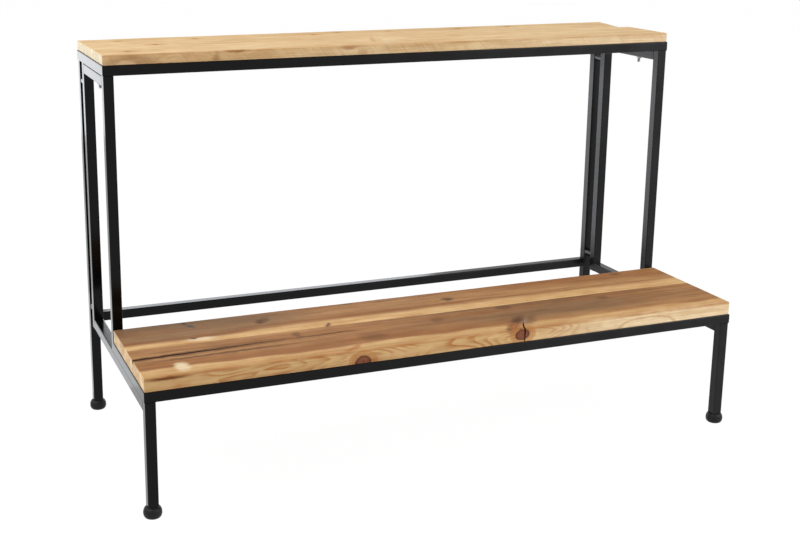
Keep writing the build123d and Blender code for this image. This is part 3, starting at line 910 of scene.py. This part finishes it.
# %% [markdown]
# Last comes the mesh, with the split and the crack cut out of it. Their walls get a dark, rough finish of
# their own, which paints the shade that falls inside them. Each point of a cut has a place along and across
# the board, a width, and the height of its bottom.

# %% Lower front board: mesh, split and crack
LOWER_EASE = 0.0018
LOWER_DIP = 0.0003
CUT_DARK = colour(58, 38, 25)
CUT_LIGHT = colour(92, 64, 42)
CUT_SCALE = (60, 400, 400)
CUT_DEPTH = 0.0004
SPLIT = ((-0.004, 0.075, 0.0066, 0.0165), (0.10, 0.079, 0.0046, 0.016), (0.25, 0.087, 0.0010, 0.018))
CRACK = ((0.6075, -0.004, 0.0034, -0.002), (0.610, 0.008, 0.0030, 0.004), (0.624, 0.036, 0.0008, 0.0195))

# The walls of the split and the crack are dark: painted shade inside the cuts.
cut = new_finish("shaded_split_wood")
cut_fibre = cut.cloud(CUT_SCALE, detail=3.0)
shaded_split_wood = cut.surface(
    Base_Color=cut.tint(cut_fibre, CUT_DARK, CUT_LIGHT),
    Roughness=cut.fade(cut_fibre, 0.2, 0.8, 0.7, 0.9),
    Specular_IOR_Level=0.1,
    Normal=cut.bump(cut_fibre, CUT_DEPTH),
)
front_board = place_piece(
    lofted_board(LOWER_LOW, LOWER_HIGH, LOWER_EASE, LOWER_DIP, seed=0.0),
    "lower_front_board", worn_front, ["lower_front_plank"])
for path in (SPLIT, CRACK):
    placed = []
    for x, y, width, bottom in path:
        placed.append((LOWER_LOW.x + x, LOWER_LOW.y + y, width, LOWER_LOW.z + bottom))
    cut_away(front_board, ragged_wedge(placed, LOWER_HIGH.z), shaded_split_wood)

# %% [markdown]
# The back board is plainer. Its sapwood lies along the seam and narrows to the left, where the heartwood
# is weathered grey, and two round knots and a few small stains sit on the top.

# %% Lower back board: grain
BACK_SWIRLS = (
    ((0.233, 0.182, LOWER_THICK), (0.07, 0.018, 0.02), 2.5),
    ((0.56, 0.178, LOWER_THICK), (0.07, 0.018, 0.02), 2.5),
)
STRIPE_LEFT = 0.138
STRIPE_RIGHT = 0.149
STRIPE_SWAY_SCALE = (5, 3, 3)
STRIPE_SWAY = 0.008
STRIPE_BORDER = (-0.008, 0.006)

back = board_finish("weathered_back_board", LOWER_LOW)
back_late = growth_rings(
    back, pith_across=0.205, pith_up=0.008, spacing=0.0038, wander=0.0, swirls=BACK_SWIRLS)
along, across = back.axes()[:2]
stripe_edge = back.fade(along, 0.12, 0.30, STRIPE_LEFT, STRIPE_RIGHT)
stripe_edge = back.reckon("ADD", stripe_edge, swaying(back, STRIPE_SWAY_SCALE, 3.0, STRIPE_SWAY))
back_heart = back.fade(back.reckon("SUBTRACT", across, stripe_edge), *STRIPE_BORDER)
back_grey = rained_on(back, (0.08, 0.19, 0.02), (0.30, 0.06, 0.05), edge=0.35, least=0.5, most=1.0)
back_tone = weathered_tone(back, back_late, back_heart, back_grey)
print("swirls on the back board:", len(BACK_SWIRLS))

# %% Lower back board: marks and mesh
BLUE_STAIN = colour(76, 80, 76)
BACK_MARKS = (
    ((0.120, 0.131), (0.034, 0.011), 0, 0.8, BARE_WOOD),
    ((0.232, 0.180), (0.024, 0.014), 40, 0.9, STAIN_BROWN),
    ((0.226, 0.176), (0.012, 0.008), 40, 0.9, DARK_BROWN),
    ((0.559, 0.178), (0.014, 0.013), 0, 0.85, DARK_BROWN),
    ((0.118, 0.194), (0.006, 0.015), 25, 1.0, BLUE_STAIN),
    ((0.111, 0.212), (0.006, 0.013), 0, 1.0, DARK_BROWN),
    ((0.109, 0.138), (0.009, 0.006), 0, 0.9, DARK_BROWN),
    ((0.324, 0.126), (0.013, 0.0045), 60, 0.85, DARK_BROWN),
    ((0.390, 0.216), (0.018, 0.010), 0, 0.85, DARK_BROWN),
    ((0.905, 0.203), (0.017, 0.012), 0, 0.6, STAIN_BROWN),
)
back_tone = add_marks(back, back_tone, on_top(BACK_MARKS, LOWER_THICK))
worn_back = finish_board(back, back_tone, back_late, ring_depth=0.5, streaky=0.19)
place_piece(
    lofted_board(*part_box("lower_back_plank"), LOWER_EASE, LOWER_DIP, seed=1.0),
    "lower_back_board", worn_back, ["lower_back_plank"])

# %% [markdown]
# Feet, bolts, nuts and screws are turned on a lathe or rolled between dies, so they share one method:
# rows of points are spun round an axis. A row has a height and a shape, and the shape is either a plain
# radius or a rule that gives a radius for each angle. A hexagon, a screw thread and a cross recess are
# three such rules, so one function makes every fastener.

# %% Spun shapes
ROUND_STEPS = 48


def spun(rows, steps=ROUND_STEPS):
    """Spin a closed row of (height, shape) pairs round the upright axis."""
    grid = bmesh.new()
    rings = []
    for height, shape in rows:
        if shape == 0:
            rings.append([grid.verts.new((0, 0, height))] * steps)
            continue
        ring = []
        for angle in (math.tau * step / steps for step in range(steps)):
            radius = shape(angle) if callable(shape) else shape
            ring.append(grid.verts.new((radius * math.cos(angle), radius * math.sin(angle), height)))
        rings.append(ring)
    join_rings(grid, rings + rings[:1], ends=False)
    return grid


# %% Hexagons
HEX_TOP_SHARE = 0.47
CHAMFER_STEPS = 4


def hexagon(flats, limit=math.inf):
    """Radius of a hexagon at an angle, cut off at a limit where a chamfer has turned its corners away."""
    def radius(angle):
        from_flat = (angle + math.pi / 6) % (math.pi / 3) - math.pi / 6
        return min(flats / 2 / math.cos(from_flat), limit)
    return radius


def hexagon_rows(flats, plain, chamfered):
    """A hexagon's side from its plain end to its chamfered end."""
    inner = flats * HEX_TOP_SHARE
    corner = flats / math.sqrt(3)
    drop = math.copysign((corner - inner) * math.tan(math.pi / 6), chamfered - plain)
    rows = [(plain, hexagon(flats))]
    for step in range(CHAMFER_STEPS + 1):
        share = step / CHAMFER_STEPS
        rows.append((chamfered - drop * (1 - share), hexagon(flats, corner + (inner - corner) * share)))
    return rows


# %% Threads
THREAD_STEPS = 20
ROWS_PER_TURN = 6
THREAD_SLOPE = 1.6
THREAD_CREST = 0.3


def thread(radius, depth, pitch, height):
    """Radius of a screw thread at a height: its groove winds once round in each pitch."""
    def groove(angle):
        share = (height / pitch - angle / math.tau) % 1
        return radius - depth * min(max(abs(2 * share - 1) * THREAD_SLOPE - THREAD_CREST, 0), 1)
    return groove


def thread_rows(start, end, radius, depth, pitch):
    """Rows of a thread from start to end, running out to full radius at both ends."""
    count = round(abs(end - start) / pitch * ROWS_PER_TURN)
    rows = []
    for row in range(count + 1):
        height = start + (end - start) * row / count
        nearest_end = min(row, count - row) / ROWS_PER_TURN
        rows.append((height, thread(radius, depth * min(nearest_end, 1), pitch, height)))
    return rows


# %% [markdown]
# Each set of fasteners is one CAD node with several separate solids. Walking from corner to linked corner
# finds the solids, and a copy of the new shape goes to each. Real ones are never lined up, so each copy
# is turned a little further than the last.

# %% Finding fasteners
MERGE_DISTANCE = 1e-6


def solid_boxes(name):
    """The box of each separate solid in a CAD node, from its lowest to its highest corner."""
    grid = bmesh.new()
    grid.from_mesh(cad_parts[name].data)
    bmesh.ops.remove_doubles(grid, verts=grid.verts, dist=MERGE_DISTANCE)
    waiting = set(grid.verts)
    boxes = []
    while waiting:
        edge_of_search = [waiting.pop()]
        places = []
        while edge_of_search:
            vert = edge_of_search.pop()
            places.append(vert.co.copy())
            linked = {edge.other_vert(vert) for edge in vert.link_edges} & waiting
            waiting -= linked
            edge_of_search += linked
        low = Vector([min(place[axis] for place in places) for axis in range(3)])
        high = Vector([max(place[axis] for place in places) for axis in range(3)])
        boxes.append((low, high))
    grid.free()
    return sorted(boxes, key=lambda box: tuple(box[0]))


# %% Copying fasteners
HEADING = {"up": Matrix.Identity(4), "back": Matrix.Rotation(-math.pi / 2, 4, "X")}
TURN_BETWEEN = math.radians(37)


def place_copies(grid, name, finish, heading):
    """Put a copy of a spun shape in every solid of a node, each turned a little further."""
    pattern = finished_mesh("pattern", grid)
    group = bmesh.new()
    boxes = solid_boxes(name)
    for index, (low, high) in enumerate(boxes):
        start = (low + high) / 2
        along = 1 if heading == "back" else 2
        start[along] = low[along]
        turn = Matrix.Rotation(index * TURN_BETWEEN, 4, "Z")
        place = Matrix.Translation(start) @ HEADING[heading] @ turn
        pattern.transform(place)
        group.from_mesh(pattern)
        pattern.transform(place.inverted())
    bpy.data.meshes.remove(pattern)
    print(name, "copies:", len(boxes))
    return place_piece(group, name.rstrip("s") + "_set", finish, [name])


# %% [markdown]
# The feet are moulded in black plastic. A mould is spark-eroded, which leaves a fine matt grain, and its
# two halves leave a thin seam where they meet. The bottom edge collects pale dust. Inside each foot is
# the socket that holds the stud's disc, kept here so that the stud has room to spin.

# %% Black plastic
PLASTIC_BLACK = (0.007, 0.007, 0.0075, 1.0)
PLASTIC_DUST = (0.05, 0.047, 0.042, 1.0)
GRAIN_SCALE = (2600, 2600, 2600)
GRAIN_DEPTH = 0.00002
SCUFF_SCALE = (260, 260, 260)
DUST_HEIGHT = 0.005

plastic = new_finish("black_plastic")
grain = plastic.cloud(GRAIN_SCALE, detail=2.0)
height = plastic.axes()[2]
near_floor = plastic.fade(height, DUST_HEIGHT, 0.0)
scuffs = plastic.fade(plastic.cloud(SCUFF_SCALE, detail=5.0, rough=0.7), 0.5, 0.7)
dusty = plastic.times(scuffs, plastic.reckon("MULTIPLY_ADD", near_floor, 0.6, 0.12))
black_plastic = plastic.surface(
    Base_Color=plastic.tint(dusty, PLASTIC_BLACK, PLASTIC_DUST),
    Roughness=plastic.fade(grain, 0.2, 0.8, 0.42, 0.58),
    Specular_IOR_Level=0.2,
    Normal=plastic.bump(grain, GRAIN_DEPTH),
)
dress(("leg_plugs", "shelf_spacers"), black_plastic)

# %% Feet
LEG_NAMES = ("front_left", "front_right", "rear_left", "rear_right")
SOLE_RADIUS = 0.0095
NECK_RADIUS = 0.009
WIDEST_HEIGHT = 0.0075
SEAM_HALF = 0.0002
SEAM_RISE = 0.0001
SOLE_THICKNESS = 0.004
SOCKET_TOP = 0.008
SOCKET_RADIUS = 0.00655
BORE_RADIUS = 0.00405
DOME_STEPS = 12


def foot_rows(radius, height):
    """The foot's outline: sole, bulge with its mould seam, dome, and the socket inside."""
    rows = [(0, 0), (0, SOLE_RADIUS)]
    side = radius - SEAM_RISE
    for step in range(1, DOME_STEPS):
        angle = math.pi / 2 * step / DOME_STEPS
        across = SOLE_RADIUS + (side - SOLE_RADIUS) * math.sin(angle)
        rows.append((WIDEST_HEIGHT * (1 - math.cos(angle)), across))
    rows += [(WIDEST_HEIGHT - SEAM_HALF, side), (WIDEST_HEIGHT, radius), (WIDEST_HEIGHT + SEAM_HALF, side)]
    for step in range(1, DOME_STEPS + 1):
        angle = math.pi / 2 * step / DOME_STEPS
        up = WIDEST_HEIGHT + (height - WIDEST_HEIGHT) * math.sin(angle)
        rows.append((up, NECK_RADIUS + (side - NECK_RADIUS) * math.cos(angle)))
    rows += [(height, BORE_RADIUS), (SOCKET_TOP, BORE_RADIUS), (SOCKET_TOP, SOCKET_RADIUS)]
    return rows + [(SOLE_THICKNESS, SOCKET_RADIUS), (SOLE_THICKNESS, 0)]


def stand_in_node(name, rows, steps):
    """Spin a shape whose rows fit the radius and height of a node, and move it to the node's place."""
    low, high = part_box(name)
    shape = spun(rows((high.x - low.x) / 2, high.z - low.z), steps)
    middle = (low + high) / 2
    bmesh.ops.translate(shape, verts=shape.verts, vec=(middle.x, middle.y, low.z))
    return shape


for leg in LEG_NAMES:
    name = "foot_" + leg
    foot = stand_in_node(name, foot_rows, ROUND_STEPS)
    place_piece(foot, name + "_base", black_plastic, [name], body=name)

# %% [markdown]
# Studs, bolts, nuts and screws are zinc plated steel. Fresh zinc is bright, but plating dulls unevenly
# within months, so the roughness is cloudy and a slightly warm film lies in patches. Bolts through the
# black frame are blackened instead: the same metal, with a dark oxide skin that is worn on the edges.

# %% Zinc and blackened steel
ZINC_BRIGHT = colour(186, 188, 190)
ZINC_DULL = colour(132, 131, 127)
OXIDE_BLACK = (0.012, 0.012, 0.013, 1.0)
OXIDE_WORN = (0.06, 0.058, 0.055, 1.0)
FILM_SCALE = (420, 420, 420)
SCRATCH_SCALE = (3000, 3000, 300)
SCRATCH_DEPTH = 0.00001


def metal_finish(name, bright, dull, smooth, rough):
    bench = new_finish(name)
    film = bench.fade(bench.cloud(FILM_SCALE, detail=4.0, rough=0.65), 0.35, 0.7)
    scratches = bench.cloud(SCRATCH_SCALE, detail=2.0)
    return bench.surface(
        Base_Color=bench.tint(film, bright, dull),
        Metallic=0.9,
        Roughness=bench.fade(film, 0.0, 1.0, smooth, rough),
        Normal=bench.bump(scratches, SCRATCH_DEPTH),
    )


zinc = metal_finish("dull_zinc", ZINC_BRIGHT, ZINC_DULL, smooth=0.3, rough=0.5)
oxide = metal_finish("blackened_steel", OXIDE_BLACK, OXIDE_WORN, smooth=0.35, rough=0.5)
print("metal finishes: 2")

# %% Studs
STUD_RADIUS = 0.004
STUD_THREAD = 0.00065
STUD_PITCH = 0.00125
STUD_TIP = 0.001
DISC_ROOM = 0.00005
EASE = 0.0003


def stud_rows(disc_radius, length):
    """A stud's outline, counted from the underside of its disc: disc, then thread, then a blunt tip."""
    disc_height = SOCKET_TOP - SOLE_THICKNESS - DISC_ROOM
    rows = [(0, 0), (0, disc_radius - EASE), (EASE, disc_radius), (disc_height - EASE, disc_radius)]
    rows += [(disc_height, disc_radius - EASE), (disc_height, STUD_RADIUS)]
    tip = length - STUD_TIP
    rows += thread_rows(disc_height + EASE, tip, STUD_RADIUS, STUD_THREAD, STUD_PITCH)
    return rows + [(length, STUD_RADIUS - STUD_TIP), (length, 0)]


for leg in LEG_NAMES:
    name = "stud_" + leg
    stud = stand_in_node(name, stud_rows, THREAD_STEPS)
    place_piece(stud, name + "_rod", zinc, [name], body=name)

# %% [markdown]
# Bolts run from a threaded tip to a hexagon head whose corners are turned away by a chamfer. Nuts are
# the same hexagon with a chamfer at both ends and a hole. Each is made once, counted from its lower end,
# and copied to every place where the CAD model has one.

# %% Bolts and nuts
FRAME_BOLT = {"radius": 0.003, "flats": 0.010, "head": 0.004, "pitch": 0.001, "thread": 0.018}
SHELF_BOLT = {"radius": 0.0025, "flats": 0.008, "head": 0.0035, "pitch": 0.0008, "thread": 0.022}
THREAD_SHARE = 0.6
NUT_ROOM = 0.00005


def bolt_rows(bolt, length):
    """A hexagon bolt from its tip, at 0, to the top of its head."""
    depth = THREAD_SHARE * bolt["pitch"]
    neck = length - bolt["head"]
    rows = [(0, 0), (0, bolt["radius"] - depth), (depth, bolt["radius"])]
    rows += thread_rows(2 * depth, bolt["thread"], bolt["radius"], depth, bolt["pitch"])
    rows += [(neck, bolt["radius"])]
    return rows + hexagon_rows(bolt["flats"], neck, length) + [(length, 0)]


def nut_rows(bolt, height):
    """A nut: a hexagon with two chamfers, and a hole for its bolt."""
    hole = bolt["radius"] + NUT_ROOM
    lower_half = hexagon_rows(bolt["flats"], height / 2, 0)[::-1]
    upper_half = hexagon_rows(bolt["flats"], height / 2, height)[1:]
    return [(0, hole)] + lower_half + upper_half + [(height, hole)]


def length_along(name, axis):
    low, high = solid_boxes(name)[0]
    return (high - low)[axis]


for name, bolt, heading, axis, finish, slot in (
    ("frame_bolts", FRAME_BOLT, "back", 1, oxide, "black_steel"),
    ("shelf_bolts", SHELF_BOLT, "up", 2, zinc, "zinc_steel"),
):
    place_copies(spun(bolt_rows(bolt, length_along(name, axis))), name, finish, heading)
for name, bolt, heading, axis in (
    ("frame_nuts", FRAME_BOLT, "back", 1),
    ("shelf_nuts", SHELF_BOLT, "up", 2),
):
    place_copies(spun(nut_rows(bolt, length_along(name, axis))), name, zinc, heading)

# %% [markdown]
# Sleeves on the frame bolts keep the rear frame clear of the side frames. They are short lengths of thick
# tube, coated like the rest.

# %% Sleeves
SLEEVE_HOLE = 0.00325


def sleeve_rows(radius, length):
    """A short length of thick tube with eased rims."""
    outside = [(0, radius - EASE), (EASE, radius), (length - EASE, radius), (length, radius - EASE)]
    return [(0, SLEEVE_HOLE)] + outside + [(length, SLEEVE_HOLE)]


sleeve_box = solid_boxes("frame_sleeves")[0]
sleeve_size = sleeve_box[1] - sleeve_box[0]
sleeve = spun(sleeve_rows(sleeve_size.x / 2, sleeve_size.y))
place_copies(sleeve, "frame_sleeves", coat.owner, "back")

# %% [markdown]
# The planks are held from below by pan-head screws whose heads sit inside the tubes. Only someone who
# lies on the floor and looks up through the access holes sees them, so they get a cross recess, a coarse
# thread and no more.

# %% Board screws
SCREW_RADIUS = 0.002
SCREW_HEAD_RADIUS = 0.004
SCREW_HEAD = 0.0024
SCREW_THREAD = 0.0006
SCREW_PITCH = 0.0018
SCREW_POINT = 0.003
PAN_OUTLINE = ((0.0, 0.65), (0.2, 0.9), (0.6, 1.0), (1.0, 1.0))
RECESS_DEPTH = 0.0013
RECESS_REACH = 0.0022
RECESS_WIDTH = 0.0010


def cross_recess(share):
    """Radius of a cross-shaped recess at an angle, drawn in by a share."""
    def radius(angle):
        from_arm = (angle + math.pi / 4) % (math.pi / 2) - math.pi / 4
        side = RECESS_WIDTH / 2 / max(abs(math.sin(from_arm)), 0.01)
        return share * min(RECESS_REACH, side)
    return radius


screw_length = length_along("board_screws", 2)
screw_rows = [(RECESS_DEPTH, 0), (RECESS_DEPTH, cross_recess(0.5)), (0, cross_recess(1.0))]
screw_rows += [(up * SCREW_HEAD, out * SCREW_HEAD_RADIUS) for up, out in PAN_OUTLINE]
screw_rows += [(SCREW_HEAD, SCREW_RADIUS)]
shank_end = screw_length - SCREW_POINT
screw_rows += thread_rows(SCREW_HEAD + EASE, shank_end, SCREW_RADIUS, SCREW_THREAD, SCREW_PITCH)
screw_rows += [(screw_length, 0)]
place_copies(spun(screw_rows, THREAD_STEPS), "board_screws", zinc, "up")
